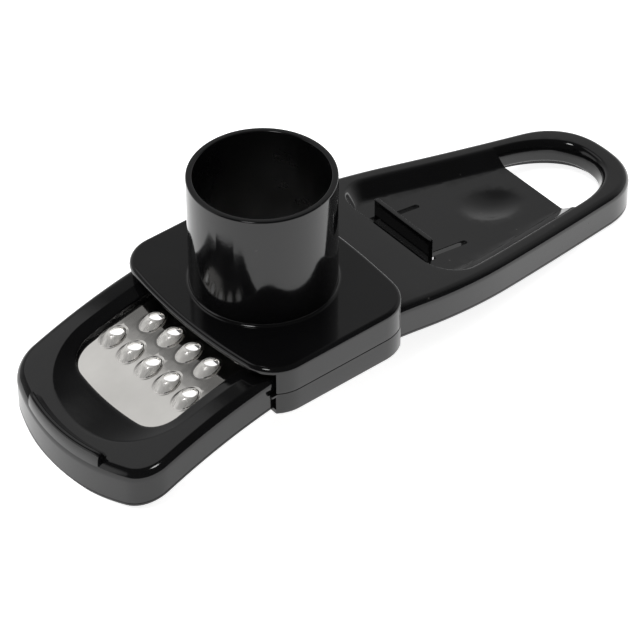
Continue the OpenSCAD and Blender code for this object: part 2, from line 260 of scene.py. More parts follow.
def blunt_side(start_x, end_x, width, start, n):
    """One side from start_x to the tip at end_x, with points closer together near the tip."""
    xs = [start_x + (end_x - start_x) * math.sin(math.pi / 2 * i / n) for i in range(n + 1)]
    pts = [(x, width(x) * blunt(x, start, end_x)) for x in xs]
    tip = pts[-2]
    # extra points where the side turns across the tip
    more = [end_x - (end_x - tip[0]) * (1 - k) ** 2.2 for k in (0.35, 0.65, 0.85)]
    more = [(x, width(x) * blunt(x, start, end_x)) for x in more]
    across = more[-1][1]
    return pts[:-1] + more + [(end_x, across * f) for f in (0.66, 0.33, 0.0)]


def smooth_tip(pts, rounds=3):
    """Evens out the last few points of a side around its tip."""
    p = [list(q) for q in pts]
    for _ in range(rounds):
        for i in range(len(p) - 7, len(p) - 1):
            for k in (0, 1):
                p[i][k] = (p[i - 1][k] + 2 * p[i][k] + p[i + 1][k]) / 4
    return [tuple(q) for q in p]


def mirrored(side):
    """side runs to the tip on y = 0; the result runs from its start at -y to its start at +y."""
    return [(x, -y) for x, y in side] + list(reversed(side[:-1]))


def base_loop():
    front = round_end(FRONT_X, BASE_HALF_W, FRONT_BULGE, corner=10, n=12)
    start = BEND_X - BEND_RUN
    side = smooth_tip(blunt_side(start, HANDLE_X, side_line, start=HANDLE_X - TIP_L, n=46))
    lower = spaced(front[-1], (start, -BASE_HALF_W), 3)
    upper = [(x, -y) for x, y in reversed(lower)]
    return anticlockwise(front + lower + mirrored(side) + upper)


# ---------------------------------------------------------------------------
# Materials
# ---------------------------------------------------------------------------
def nodes_of(name):
    m = bpy.data.materials.new(name)
    m.use_nodes = True
    t = m.node_tree
    return m, t.nodes, t.links, t.nodes["Principled BSDF"]


def ramp(nodes, points):
    r = nodes.new("ShaderNodeValToRGB")
    e = r.color_ramp.elements
    while len(e) < len(points):
        e.new(0.5)
    for el, (pos, value) in zip(e, points):
        el.position = pos
        el.color = (value, value, value, 1) if isinstance(value, float) else (*value, 1)
    return r


def noise(nodes, links, coord, scale, detail=3.0, rough=0.5):
    n = nodes.new("ShaderNodeTexNoise")
    n.inputs["Scale"].default_value = scale
    n.inputs["Detail"].default_value = detail
    n.inputs["Roughness"].default_value = rough
    links.new(coord, n.inputs["Vector"])
    return n


def black_plastic(name, base=0.0042, rough=0.085, specular=0.5):
    """Moulded glossy black plastic: faint flow marks, dust specks and a slightly uneven gloss."""
    m, nodes, links, p = nodes_of(name)
    coord = nodes.new("ShaderNodeTexCoord").outputs["Object"]
    flow = noise(nodes, links, coord, 55, 4)
    tone = ramp(nodes, [(0.3, (base * 0.8, base * 0.8, base * 0.85)),
                        (0.75, (base * 1.3, base * 1.3, base * 1.4))])
    links.new(flow.outputs["Fac"], tone.inputs["Fac"])
    specks = nodes.new("ShaderNodeTexVoronoi")
    specks.inputs["Scale"].default_value = 130
    links.new(coord, specks.inputs["Vector"])
    dot = ramp(nodes, [(0.0, 1.0), (0.035, 0.35), (0.06, 0.0)])
    links.new(specks.outputs["Distance"], dot.inputs["Fac"])
    some = noise(nodes, links, coord, 37, 0)
    few = ramp(nodes, [(0.56, 0.0), (0.62, 1.0)])
    links.new(some.outputs["Fac"], few.inputs["Fac"])
    both = nodes.new("ShaderNodeMath")
    both.operation = "MULTIPLY"
    links.new(dot.outputs["Color"], both.inputs[0])
    links.new(few.outputs["Color"], both.inputs[1])
    mix = nodes.new("ShaderNodeMix")
    mix.data_type = "RGBA"
    links.new(both.outputs[0], mix.inputs["Factor"])
    links.new(tone.outputs["Color"], mix.inputs["A"])
    mix.inputs["B"].default_value = (0.06, 0.06, 0.055, 1)
    links.new(mix.outputs["Result"], p.inputs["Base Color"])
    gloss = ramp(nodes, [(0.3, rough * 0.75), (0.7, rough * 1.5)])
    links.new(noise(nodes, links, coord, 90, 5, 0.6).outputs["Fac"], gloss.inputs["Fac"])
    links.new(gloss.outputs["Color"], p.inputs["Roughness"])
    grain = nodes.new("ShaderNodeBump")
    grain.inputs["Strength"].default_value = 0.05
    grain.inputs["Distance"].default_value = 0.0002
    links.new(noise(nodes, links, coord, 420, 2).outputs["Fac"], grain.inputs["Height"])
    wave = nodes.new("ShaderNodeBump")
    wave.inputs["Strength"].default_value = 0.10
    wave.inputs["Distance"].default_value = 0.0006
    links.new(noise(nodes, links, coord, 26, 1).outputs["Fac"], wave.inputs["Height"])
    links.new(grain.outputs["Normal"], wave.inputs["Normal"])
    links.new(wave.outputs["Normal"], p.inputs["Normal"])
    p.inputs["IOR"].default_value = 1.5
    p.inputs["Specular IOR Level"].default_value = specular
    return m


def polished_steel(name, low=0.10, high=0.19, metallic=1.0, highlight_gain=1.0):
    """Rolled stainless sheet with a near mirror finish, fine rolling lines and faint smears."""
    m, nodes, links, p = nodes_of(name)
    coord = nodes.new("ShaderNodeTexCoord").outputs["Object"]
    stretch = nodes.new("ShaderNodeMapping")
    stretch.inputs["Scale"].default_value = (40, 900, 40)
    links.new(coord, stretch.inputs["Vector"])
    lines = noise(nodes, links, stretch.outputs["Vector"], 1.0, 3)
    # a gain above 1 lightens the colour as a painted highlight
    tone = ramp(nodes, [(0.25, tuple(highlight_gain * v for v in (0.66, 0.645, 0.62))),
                        (0.8, tuple(highlight_gain * v for v in (0.80, 0.785, 0.755)))])
    links.new(noise(nodes, links, coord, 60, 4).outputs["Fac"], tone.inputs["Fac"])
    links.new(tone.outputs["Color"], p.inputs["Base Color"])
    gloss = ramp(nodes, [(0.3, low), (0.75, high)])
    links.new(lines.outputs["Fac"], gloss.inputs["Fac"])
    links.new(gloss.outputs["Color"], p.inputs["Roughness"])
    bump = nodes.new("ShaderNodeBump")
    bump.inputs["Strength"].default_value = 0.06
    bump.inputs["Distance"].default_value = 0.0001
    links.new(lines.outputs["Fac"], bump.inputs["Height"])
    links.new(bump.outputs["Normal"], p.inputs["Normal"])
    p.inputs["Metallic"].default_value = metallic
    return m


base_black = black_plastic("Base_Plastic")
slider_black = black_plastic("Slider_Plastic", rough=0.08)
# the bore is rougher, and its low reflection is painted shade for the dark inside of the tube
bore_shade_black = black_plastic("Slider_Plastic_Bore_Shade", rough=0.3, specular=0.3)
# the slot walls' low reflection is painted shade for the dark inside of the slot
slot_shade_black = black_plastic("Base_Plastic_Slot_Shade", rough=0.5, specular=0.1)
steel = polished_steel("Blade_Steel", 0.05, 0.12)
# the teeth are rougher drawn metal; their lighter, partly non-metal colour is a painted highlight
highlit_pressed_steel = polished_steel("Blade_Steel_Pressed_Highlit", 0.26, 0.36, 0.35, 1.22)


def apply_modifiers(obj):
    bpy.context.view_layer.update()
    deps = bpy.context.evaluated_depsgraph_get()
    mesh = bpy.data.meshes.new_from_object(obj.evaluated_get(deps))
    obj.modifiers.clear()
    obj.data = mesh


def level_normals(obj):
    """Weights the normals by face area, so that the flat faces stay flat beside their rounded edges."""
    mod = obj.modifiers.new("Normals", "WEIGHTED_NORMAL")
    mod.mode, mod.weight, mod.keep_sharp = "FACE_AREA", 100, True
    apply_modifiers(obj)


def finish_piece(obj, body, node, material):
    obj.data.materials.clear()
    obj.data.materials.append(material)
    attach(obj, body)
    if node:
        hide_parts(node)


# ---------------------------------------------------------------------------
# Base
# ---------------------------------------------------------------------------
HOLE_X = along(98.6)
DISH_HALF = 23.9
WINDOW_FRONT, WINDOW_BACK, WINDOW_HALF = 52.6, 24, 19.5
outer = base_loop()
# the rounding of the top edge gets a little smaller along the handle
edge_r = np.array([2.4 - 0.3 * min(1, max(0, (x - 30) / 35)) for x, _ in outer])


def tray_dish(n=10):
    """Where the rim starts to dip towards the blade: nearly a half circle in front, straight sides."""
    front = round_end(64.2, DISH_HALF, bulge=27.8, corner=20.5, n=n)
    back = round_end(28.2, DISH_HALF, bulge=90, corner=7, n=n)
    return two_ended(front, back)


def window_edge(grow=0.0, n=10):
    """The opening in the tray's floor, through which the blade shows."""
    front = round_end(WINDOW_FRONT + grow, WINDOW_HALF + grow, bulge=90, corner=8 + grow, n=n)
    back = round_end(WINDOW_BACK + grow, WINDOW_HALF + grow, bulge=90, corner=8 + grow, n=n)
    return two_ended(front, back)


def recess_side(x0, corner, side_inset, n=8, m=26):
    """Half of the thumb recess in plan, from the middle of its straight front to the hanging hole."""
    y0 = side_line(x0 + corner) - side_inset
    front = [(x0, (y0 - corner) * i / 6) for i in range(6)]
    bend = [(x0 + corner - corner * math.cos(t), y0 - corner + corner * math.sin(t))
            for t in (math.pi / 2 * i / n for i in range(n + 1))]
    run = [(x, side_line(x) - side_inset)
           for x in (x0 + corner + (HOLE_X - x0 - corner) * i / m for i in range(1, m + 1))]
    return front + bend + run


def loop_side(side_inset, end_gap, n=26):
    """One side of the hanging hole, end_gap short of the handle's tip."""
    return smooth_tip(blunt_side(HOLE_X, HANDLE_X - end_gap, lambda x: side_line(x) - side_inset,
                                 HANDLE_X - LOOP_TIP_L, n))


def recess_arc(side):
    """side mirrored into one open line from the hole's -y corner round the front to its +y corner."""
    return [(x, -y) for x, y in reversed(side[1:])] + side


DIMPLE_X, DIMPLE_A, DIMPLE_B, DIMPLE_D = along(82.5), 10.4, 7.4, 1.3


def panel_depth(x, y):
    """Depth of the thumb panel, with its shallow oval dimple."""
    u, v = (x - DIMPLE_X) / DIMPLE_A, y / DIMPLE_B
    q = u * u + v * v
    return RECESS_D + (DIMPLE_D * (1 - q) ** 1.35 if q < 1 else 0.0)


base = Shell()
# outer wall, with its rounded top edge, fine mould line and softened bottom edge
BOTTOM_R = 0.35
wall_rings = []
for k in range(9):
    t = math.pi / 2 * k / 8
    ins, dep = edge_r * (1 - math.sin(t)), edge_r * (1 - math.cos(t))
    wall_rings.append([on_base(x, y, d) for (x, y), d in zip(inset(outer, ins), dep)])
for ins, dep in ((0, 4.6), (0, 6.8), (0, 8.9), (0.1, 9.0), (0.1, 9.12), (0, 9.22), (0, 9.7), (0.12, 9.92),
                 (BOTTOM_R, BASE_T)):
    wall_rings.append([on_base(x, y, dep) for x, y in inset(outer, ins)])
base.strip(wall_rings)
top_edge = inset(outer, edge_r)
bottom_edge = inset(outer, BOTTOM_R)

# tray: rim, dished border, then a short steep wall down to the blade
dish, lip = tray_dish(), window_edge(0.75)
foot = window_edge(0.0)
assert len(dish) == len(lip) == len(foot)


def lip_depth(x):
    """Depth of the dished border where it meets the opening: more towards the front."""
    return 1.0 + 0.9 * min(1, max(0, (-44 - x) / 10))


def tray_ring(f, deep):
    return [on_base(x, y, deep * lip_depth(b[0])) for (x, y), b in zip(between(dish, lip, f), lip)]


rings = [tray_ring(f, g) for f, g in ((0, 0), (0.04, 0.012), (0.09, 0.05), (0.14, 0.1), (0.35, 0.33),
                                      (0.6, 0.58), (0.85, 0.82), (0.93, 0.9), (1, 1))]
for f, k in ((0.35, 0.25), (0.6, 0.6), (0.8, 0.85), (0.9, 1.0)):
    rings.append([on_base(x, y, lip_depth(b[0]) + (SKIN - 0.25 - lip_depth(b[0])) * k)
                  for (x, y), b in zip(between(lip, foot, f), lip)])
rings.append([on_base(x, y, SKIN) for x, y in foot])
base.strip(rings)

# thumb recess and hanging hole; flank and hole_profile are (share of the way in, depth)
top_side = recess_side(along(43.3), corner=10.4, side_inset=3.8)
low_side = recess_side(along(44.9), corner=6.5, side_inset=9.9)
loop_top, loop_low = loop_side(side_inset=3.8, end_gap=5.3), loop_side(side_inset=6.2, end_gap=7.8)
arc_top, arc_low = recess_arc(top_side), recess_arc(low_side)
hole_top, hole_low = mirrored(loop_top), mirrored(loop_low)
flank = [(0, 0), (0.07, 0.012), (0.14, 0.05), (0.21, 0.115), (0.29, 0.2), (0.5, 0.45), (0.7, 0.69),
         (0.84, 0.86), (0.92, 0.945), (1, 1)]
base.strip([[on_base(x, y, g * RECESS_D) for x, y in between(arc_top, arc_low, f)]
            for f, g in flank], closed=False)
hole_profile = [(math.sin(t), 5.6 * (1 - math.cos(t))) for t in (math.pi / 2 * i / 9 for i in range(10))]
hole_profile += [(0.98, 6.1), (0.9, 6.4), (0.75, 6.6), (-0.5, 6.8), (-0.6, 7.0), (-0.6, 10)]
base.strip([[on_base(x, y, d) for x, y in between(hole_top, hole_low, f)]
            for f, d in hole_profile], closed=False)

# the end of the thumb panel where it stops at the hanging hole, drawn in (y, depth)
panel_half = arc_low[-1][1]
across = [panel_half * k / 6 for k in range(6, -7, -1)]
flank_end = [(arc_top[-1][1] + (arc_low[-1][1] - arc_top[-1][1]) * f, -g * RECESS_D) for f, g in flank]
hole_end = [(hole_top[-1][1] + (hole_low[-1][1] - hole_top[-1][1]) * f, -d) for f, d in hole_profile]
end_face = flank_end + [(y, -RECESS_D) for y in across[1:-1]] + [(-y, z) for y, z in reversed(flank_end)]
end_face += [(-y, z) for y, z in hole_end[1:]]
foot_half = hole_end[-1][0]
end_face += [(-foot_half + 2 * foot_half * k / 8, -BASE_T) for k in range(1, 8)]
end_face += list(reversed(hole_end[1:]))
base.area(end_face, [], lambda y, z: on_base(HOLE_X, y, -z), step=None)

# top face between the outer edge, the tray and the recess
recess_loop = anticlockwise(arc_top[:-1] + list(reversed(hole_top))[:-1])
base.area(top_edge, [dish, recess_loop], lambda x, y: on_base(x, y, 0))

# thumb panel with the slot for the latch
TAB_X, ROOT_X, SLIT_Y, HALF_SLIT = along(48.7), along(63.2), 10.2, 0.85
TAB_T, TAB_HALF, TAB_H = 1.5, 11.65, 2.7
FRONT_GAP, SLOT_L, SIDE_GAP = 1.1, 3.4, 0.6


def latch_slot():
    """Outline of the cut round the sprung tongue: wide at the tab, with a round end to each slit."""
    x0, w = TAB_X - FRONT_GAP, TAB_HALF + SIDE_GAP
    x1 = x0 + SLOT_L
    pts = [(x0, -w), (x1, -w), (x1, -SLIT_Y - HALF_SLIT)]
    pts += [(x1 + (ROOT_X - x1) * k / 5, -SLIT_Y - HALF_SLIT) for k in range(1, 6)]
    pts += [(ROOT_X + HALF_SLIT * math.sin(t), -SLIT_Y - HALF_SLIT * math.cos(t))
            for t in (math.pi * i / 8 for i in range(1, 9))]
    pts += [(ROOT_X - 0.35, -SLIT_Y + HALF_SLIT)]
    root = [(ROOT_X - 0.35, y) for y in (-6, -2, 2, 6)]
    return anticlockwise(pts + root + [(x, -y) for x, y in reversed(pts)])


slot_loop = latch_slot()
panel_loop = anticlockwise(arc_low + [(HOLE_X, y) for y in across[1:-1]])
dimple_points = [(DIMPLE_X + DIMPLE_A * r * math.cos(t), DIMPLE_B * r * math.sin(t))
                 for r in (0.12, 0.25, 0.38, 0.5, 0.62, 0.74, 0.86, 1.0)
                 for t in (2 * math.pi * (i + 0.5 * (round(r * 100) % 2)) / 36 for i in range(36))]
base.area(panel_loop, [slot_loop], lambda x, y: on_base(x, y, panel_depth(x, y)),
          extra=dimple_points, gap=0.12)
base.strip([[on_base(x, y, d) for x, y in slot_loop]
            for d in (RECESS_D, RECESS_D + 0.6, RECESS_D + PANEL_T)])

# underside: three shallow hollows inside the walls
under_panel = recess_side(along(45.5), corner=7.5, side_inset=7.1, n=6, m=12)
under_panel = [(min(x, HOLE_X - 3), y) for x, y in under_panel if x < HOLE_X - 2.2]
panel_hollow = anticlockwise([(x, -y) for x, y in reversed(under_panel[1:])] + under_panel
                             + [(HOLE_X - 3, y) for y in (10, 5, 0, -5, -10)])
HOLLOW_HALF = 26.4
tray_hollow = two_ended(round_end(65.6, HOLLOW_HALF, bulge=62, corner=7, n=6),
                        round_end(32, HOLLOW_HALF, bulge=900, corner=1.5, n=4), 20)
front_x, mid_x, back_x = 35, 37.5, along(44) - 3
across_hollow = np.linspace(-HOLLOW_HALF, HOLLOW_HALF, 9)
flat_hollow = anticlockwise([(front_x, y) for y in across_hollow] + [(mid_x, HOLLOW_HALF)]
                            + [(back_x, y) for y in across_hollow[::-1]] + [(mid_x, -HOLLOW_HALF)])
under_hole = anticlockwise(between(hole_top, hole_low, hole_profile[-1][0])
                           + [(HOLE_X, foot_half - 2 * foot_half * k / 8) for k in range(1, 8)])
base.area(bottom_edge, [tray_hollow, flat_hollow, panel_hollow, under_hole],
          lambda x, y: on_base(x, y, BASE_T), step=(4, 4))
for loop, ceiling in ((tray_hollow, SKIN), (flat_hollow, SKIN), (panel_hollow, RECESS_D + PANEL_T)):
    base.strip([[on_base(x, y, d) for x, y in loop]
                for d in (BASE_T, BASE_T - 0.6, (BASE_T + ceiling) / 2, ceiling)])
base.area(tray_hollow, [foot], lambda x, y: on_base(x, y, SKIN), step=(4, 4))
base.area(flat_hollow, [], lambda x, y: on_base(x, y, SKIN), step=(3, 4))
base.area(panel_hollow, [slot_loop], lambda x, y: on_base(x, y, RECESS_D + PANEL_T), step=(4, 4))
base_obj = base.build("Base_Body")
level_normals(base_obj)
finish_piece(base_obj, "base", "base_frame", base_black)
# the walls of the narrow slot round the latch are matt and reflect little: painted shade for the dark
# inside of the slot
base_obj.data.materials.append(slot_shade_black)
for poly in base_obj.data.polygons:
    x, y = poly.center.x * 1000 + MIDDLE_X, poly.center.y * 1000
    deep = (surface_z(x, RECESS_D + 0.1) - TABLE_Z) * 0.001
    in_slot = TAB_X - 1.3 < x < ROOT_X + 1 and 9 < abs(y) < 13
    if in_slot and poly.center.z < deep and abs(poly.normal.z) < 0.7:
        poly.material_index = 1


# front lug: a raised ridge along the front edge that stops the carriage
def lug():
    s = Shell()
    half, n, setback = 15.3, 22, 0.12
    section = [(0, -0.8), (0, 0.6), (0.12, 1.6), (0.35, 2.45), (0.62, 2.78), (1.0, 2.9), (1.45, 2.8),
               (1.75, 2.5), (2.0, 1.9), (2.25, 1.1), (2.7, 0.45), (3.5, 0.05), (4.2, -0.25), (4.2, -0.8)]
    cx = FRONT_BULGE - FRONT_X
    rings = []
    for k in range(n + 1):
        y = -half + 2 * half * k / n
        # square ends with a small round
        drop = 0.25 if k in (0, n) else 0.0
        tip = cx - math.sqrt(FRONT_BULGE ** 2 - y * y)
        rings.append([part(tip + u + setback + drop * 0.3, y,
                           surface_z(tip + u + setback, 0) + max(v - drop, -0.8)) for u, v in section])
    s.strip(rings)
    s.cap(rings[0])
    s.cap(rings[-1])
    return s.build("Front_Lug", 40)


finish_piece(lug(), "base", None, base_black)


# ---------------------------------------------------------------------------
# Stop latch: sprung tongue with its upright tab
# ---------------------------------------------------------------------------
def slab(shell, loop, profile, lift):
    """A closed slab: profile is (inset, depth) pairs from the top to the bottom."""
    rings = [[lift(x, y, d) for x, y in inset(loop, i)] for i, d in profile]
    shell.strip(rings)
    for i, d in (profile[0], profile[-1]):
        shell.area(inset(loop, i), [], lambda x, y: lift(x, y, d), step=(3, 3))


def box_loop(x0, x1, y0, y1, r, step=2.0, n=4):
    """A rectangle with rounded corners, anticlockwise."""
    pts = []
    for cx, cy, a in ((x1 - r, y1 - r, 0), (x0 + r, y1 - r, 1), (x0 + r, y0 + r, 2), (x1 - r, y0 + r, 3)):
        pts += [(cx + r * math.cos(t), cy + r * math.sin(t))
                for t in (math.pi / 2 * (a + i / n) for i in range(n + 1))]
    out = []
    for i, p in enumerate(pts):
        q = pts[(i + 1) % len(pts)]
        out.append(p)
        if math.dist(p, q) > 1.5 * step:
            out += spaced(p, q, step)
    return out


latch = Shell()
slab(latch, box_loop(TAB_X + 0.7, ROOT_X - 0.355, -SLIT_Y + HALF_SLIT, SLIT_Y - HALF_SLIT, 0.02),
     [(0, RECESS_D), (0, RECESS_D + PANEL_T)], on_base)
tab = box_loop(TAB_X, TAB_X + TAB_T, -TAB_HALF, TAB_HALF, 0.28, 1.5)
slab(latch, tab, [(0.16, -TAB_H), (0.08, 0.03 - TAB_H), (0.02, 0.1 - TAB_H), (0, 0.22 - TAB_H),
                  (0, 0), (0, RECESS_D + 1), (0, RECESS_D + PANEL_T - 0.1), (0.1, RECESS_D + PANEL_T)],
     on_base)
latch_obj = latch.build("Stop_Latch", 40)
level_normals(latch_obj)
finish_piece(latch_obj, "latch", "stop_latch", base_black)


# ---------------------------------------------------------------------------
# Blade: an arched sheet with rows of raised, open teeth
# ---------------------------------------------------------------------------
ROWS, PITCH, ROW_PITCH, FIRST_ROW = 6, 7.93, 10.6, -38.5
TOOTH_H = 2.0
# each tooth's foot and mouth are ovals: centre along the arc, half length, half width
FOOT_X, FOOT_A, FOOT_B = -1.35, 4.1, 2.75
MOUTH_X, MOUTH_A, MOUTH_B = 0.35, 2.05, 1.95


def on_arc(s, y, up):
    a = s / TRACK_R - TRACK_LEAD
    r = TRACK_R - SKIN + up
    return part(TRACK_CX + r * math.sin(a), y, TRACK_CZ + r * math.cos(a))


def sunk(c):
    """How deep the sheet sinks at a tooth's foot: nothing in front, most behind; c is -1 in front."""
    return 0.13 * min(1.0, 0.7 + 0.7 * c)


def tooth_rings(cx, cy):
    """A scoop: low at the front, rising to an open mouth behind its top."""
    n, m = 40, 12
    turn = [2 * math.pi * i / n for i in range(n)]
    rings = [[(cx + FOOT_X + (FOOT_A + grow) * math.cos(t),
               cy + (FOOT_B + grow) * math.sin(t) * (1 - 0.10 * math.cos(t)),
               -share * sunk(math.cos(t))) for t in turn]
             for grow, share in ((0.75, 0), (0.6, 0.12), (0.35, 0.75), (0.18, 1))]
    for k in range(m + 1):
        f = k / m
        ring = []
        for i in range(n):
            t = 2 * math.pi * i / n
            c, w = math.cos(t), math.sin(t)
            foot_x, foot_y = FOOT_X + FOOT_A * c, FOOT_B * w * (1 - 0.10 * c)
            mouth_x, mouth_y = MOUTH_X + MOUTH_A * c, MOUTH_B * w
            x, y = foot_x + (mouth_x - foot_x) * f, foot_y + (mouth_y - foot_y) * f
            mouth_up = TOOTH_H * (0.53 - 0.45 * c)
            rise = f * f * (3 - 2 * f) if c > 0.2 else math.sin(math.pi / 2 * f) ** (1.35 + 0.25 * c)
            ring.append((cx + x, cy + y, mouth_up * rise - sunk(c) * (1 - f)))
        rings.append(ring)
    return rings


blade = Shell()
feet = []
BLADE_FRONT, BLADE_BACK, BLADE_HALF = -57.5, 29, 23.8
for row in range(ROWS):
    count = 5 - row % 2
    for i in range(count):
        rings = tooth_rings(FIRST_ROW + row * ROW_PITCH, (i - (count - 1) / 2) * PITCH)
        feet.append([(x, y) for x, y, _ in rings[0]])
        blade.strip([[on_arc(*p) for p in ring] for ring in rings])


def arc_length(x):
    """Arc length along the track of the point at x on the blade, the inverse of on_arc."""
    return (math.asin((x - TRACK_CX) / (TRACK_R - SKIN)) + TRACK_LEAD) * TRACK_R


sheet_loop = box_loop(arc_length(BLADE_FRONT), arc_length(BLADE_BACK), -BLADE_HALF, BLADE_HALF, 1.2, 2.5)
blade.area(sheet_loop, feet, lambda s, y: on_arc(s, y, 0), step=(2.2, 2.2))
blade_obj = blade.build("Grater_Blade", 60)
thick = blade_obj.modifiers.new("Sheet", "SOLIDIFY")
thick.thickness = 0.00045
thick.offset = -1
thick.use_even_offset = False
# the sheet thickens downwards, so its faces have to look up
bm = bmesh.new()
bm.from_mesh(blade_obj.data)
bm.normal_update()
if sum(f.normal.z * f.calc_area() for f in bm.faces) < 0:
    bmesh.ops.reverse_faces(bm, faces=bm.faces)
bm.to_mesh(blade_obj.data)
bm.free()
apply_modifiers(blade_obj)
smooth(blade_obj, 30)
level_normals(blade_obj)
finish_piece(blade_obj, "base", "grater_blade", steel)
blade_obj.data.materials.append(highlit_pressed_steel)
sheet_r = (TRACK_R - SKIN) * 0.001
centre = Vector(part(TRACK_CX, 0, TRACK_CZ))
# the raised teeth are drawn metal, duller than the flat sheet; their lighter, partly non-metal colour is a
# painted highlight that makes the domes read white
for poly in blade_obj.data.polygons:
    c = poly.center - centre
    if math.hypot(c.x, c.z) > sheet_r + 0.00006:
        poly.material_index = 1


# ---------------------------------------------------------------------------
# Carriage
# ---------------------------------------------------------------------------
CARRIAGE_HALF_L, CARRIAGE_HALF_W = 27.3, 33.3
FRONT_ARC, BACK_ARC, CORNER = 148, 230, 11
FLOOR_REACH, DROP_HALF_L, DROP_HALF_W = 20.6, 17, 23
RIB_Y, RIB_HALF_L, RIB_HALF_T, SKIRT_Z, SKIRT_T = 25.6, 12, 1.3, -2.1, 1.2
LEDGE_FRONT, LEDGE_BACK = -22.4, 21.2


def carriage_loop(shrink=0.0, n=12):
    """Outline of the carriage in plan."""
    front = round_end(CARRIAGE_HALF_L, CARRIAGE_HALF_W, FRONT_ARC, CORNER, n)
    back = round_end(CARRIAGE_HALF_L, CARRIAGE_HALF_W, BACK_ARC, CORNER, n)
    loop = two_ended(front, back, 12)
    return inset(loop, shrink) if shrink else loop


def circle(r, n=128):
    return [(r * math.cos(2 * math.pi * i / n), r * math.sin(2 * math.pi * i / n)) for i in range(n)]


def flat(z):
    return lambda x, y: part(x, y, z)


def level(loop, z):
    return [part(x, y, z) for x, y in loop]


def cut(obj, cutter):
    """Takes the cutter's volume away and removes the cutter."""
    mod = obj.modifiers.new("Cut", "BOOLEAN")
    mod.operation, mod.solver, mod.object = "DIFFERENCE", "EXACT", cutter
    apply_modifiers(obj)
    bpy.data.objects.remove(cutter)


def merge(obj, other):
    """Adds the other object's faces to obj, as a closed shell of their own."""
    bm = bmesh.new()
    bm.from_mesh(obj.data)
    bm.from_mesh(other.data)
    bm.to_mesh(obj.data)
    bm.free()
    bpy.data.objects.remove(other)
    smooth(obj, 35)


def box_cutter(x0, x1, half_w, z0, z1):
    loop = [(x0, -half_w), (x1, -half_w), (x1, half_w), (x0, half_w)]
    s = Shell()
    s.strip([level(loop, z0), level(loop, z1)])
    s.area(loop, [], flat(z0), step=None)
    s.area(loop, [], flat(z1), step=None)
    return s.build("cutter")


def arched_block(shell, x0, x1, y0, y1, z_top, d, steps=16):
    """A block under z_top whose lower face follows the arch at depth d."""
    rings = []
    for k in range(steps + 1):
        x = x0 + (x1 - x0) * k / steps
        z = surface_z(x, d)
        rings.append([part(x, y0, z), part(x, y1, z), part(x, y1, z_top), part(x, y0, z_top)])
    shell.strip(rings)
    shell.cap(rings[0])
    shell.cap(rings[-1])


HOPPER_R, BORE_R, HOPPER_H, FOOT_R, EDGE_R = 20.0, 18.2, 35.0, 1.0, 1.4
outline = carriage_loop(0.1)
upper = Shell()
rings = [level(inset(outline, 0.22), -SEAM), level(inset(outline, 0.06), -SEAM + 0.07),
         level(outline, -SEAM + 0.22)]
rings += [level(outline, z) for z in (-6, -4)]
rings += [level(inset(outline, i), z) for i, z in [(EDGE_R * (1 - math.cos(t)), -EDGE_R * (1 - math.sin(t)))
                                                  for t in (math.pi / 2 * k / 8 for k in range(9))]]
upper.strip(rings)
foot_ring = [(HOPPER_R + FOOT_R * (1 - math.sin(t)), FOOT_R * (1 - math.cos(t)))
             for t in (math.pi / 2 * k / 6 for k in range(7))]
lathe = foot_ring + [(HOPPER_R, z) for z in (4, 12, 20, 28, HOPPER_H - 0.5)]
lathe += [(HOPPER_R - 0.04, HOPPER_H - 0.28), (HOPPER_R - 0.16, HOPPER_H - 0.1),
          (HOPPER_R - 0.38, HOPPER_H), (BORE_R + 0.38, HOPPER_H), (BORE_R + 0.16, HOPPER_H - 0.1),
          (BORE_R + 0.04, HOPPER_H - 0.28), (BORE_R, HOPPER_H - 0.5)]
lathe += [(BORE_R, z) for z in (28, 20, 12, 4, -2, -SEAM)]
upper.strip([level(circle(r), z) for r, z in lathe])
upper.area(inset(outline, EDGE_R), [circle(HOPPER_R + FOOT_R)], flat(0), step=None)
upper.area(inset(outline, 0.22), [circle(BORE_R)], flat(-SEAM), step=None)
upper_obj = upper.build("Carriage_Top", 35)
cut(upper_obj, box_cutter(-50, 50, CHANNEL, -20, -PLATE))
extras = Shell()
# ribs that ride on the base, and a skirt round the bore
for y in (-RIB_Y, RIB_Y):
    arched_block(extras, -RIB_HALF_L, RIB_HALF_L, y - RIB_HALF_T, y + RIB_HALF_T, -PLATE + 0.2, -0.2)
skirt = [(BORE_R, -PLATE + 0.2), (BORE_R, SKIRT_Z), (BORE_R + SKIRT_T, SKIRT_Z),
         (BORE_R + SKIRT_T, -PLATE + 0.2)]
extras.strip([level(circle(r), z) for r, z in skirt + skirt[:1]])
extras_obj = extras.build("extras", 30)
merge(upper_obj, extras_obj)
level_normals(upper_obj)
finish_piece(upper_obj, "carriage", "slider_upper_shell", slider_black)
# the bore of the hopper is less polished than the outside, and its low reflection is painted shade for the
# dark inside of the tube
upper_obj.data.materials.append(bore_shade_black)
axis_x = part(0, 0, 0)[0]
for poly in upper_obj.data.polygons:
    if math.hypot(poly.center.x - axis_x, poly.center.y) < (BORE_R + 0.05) * 0.001:
        poly.material_index = 1

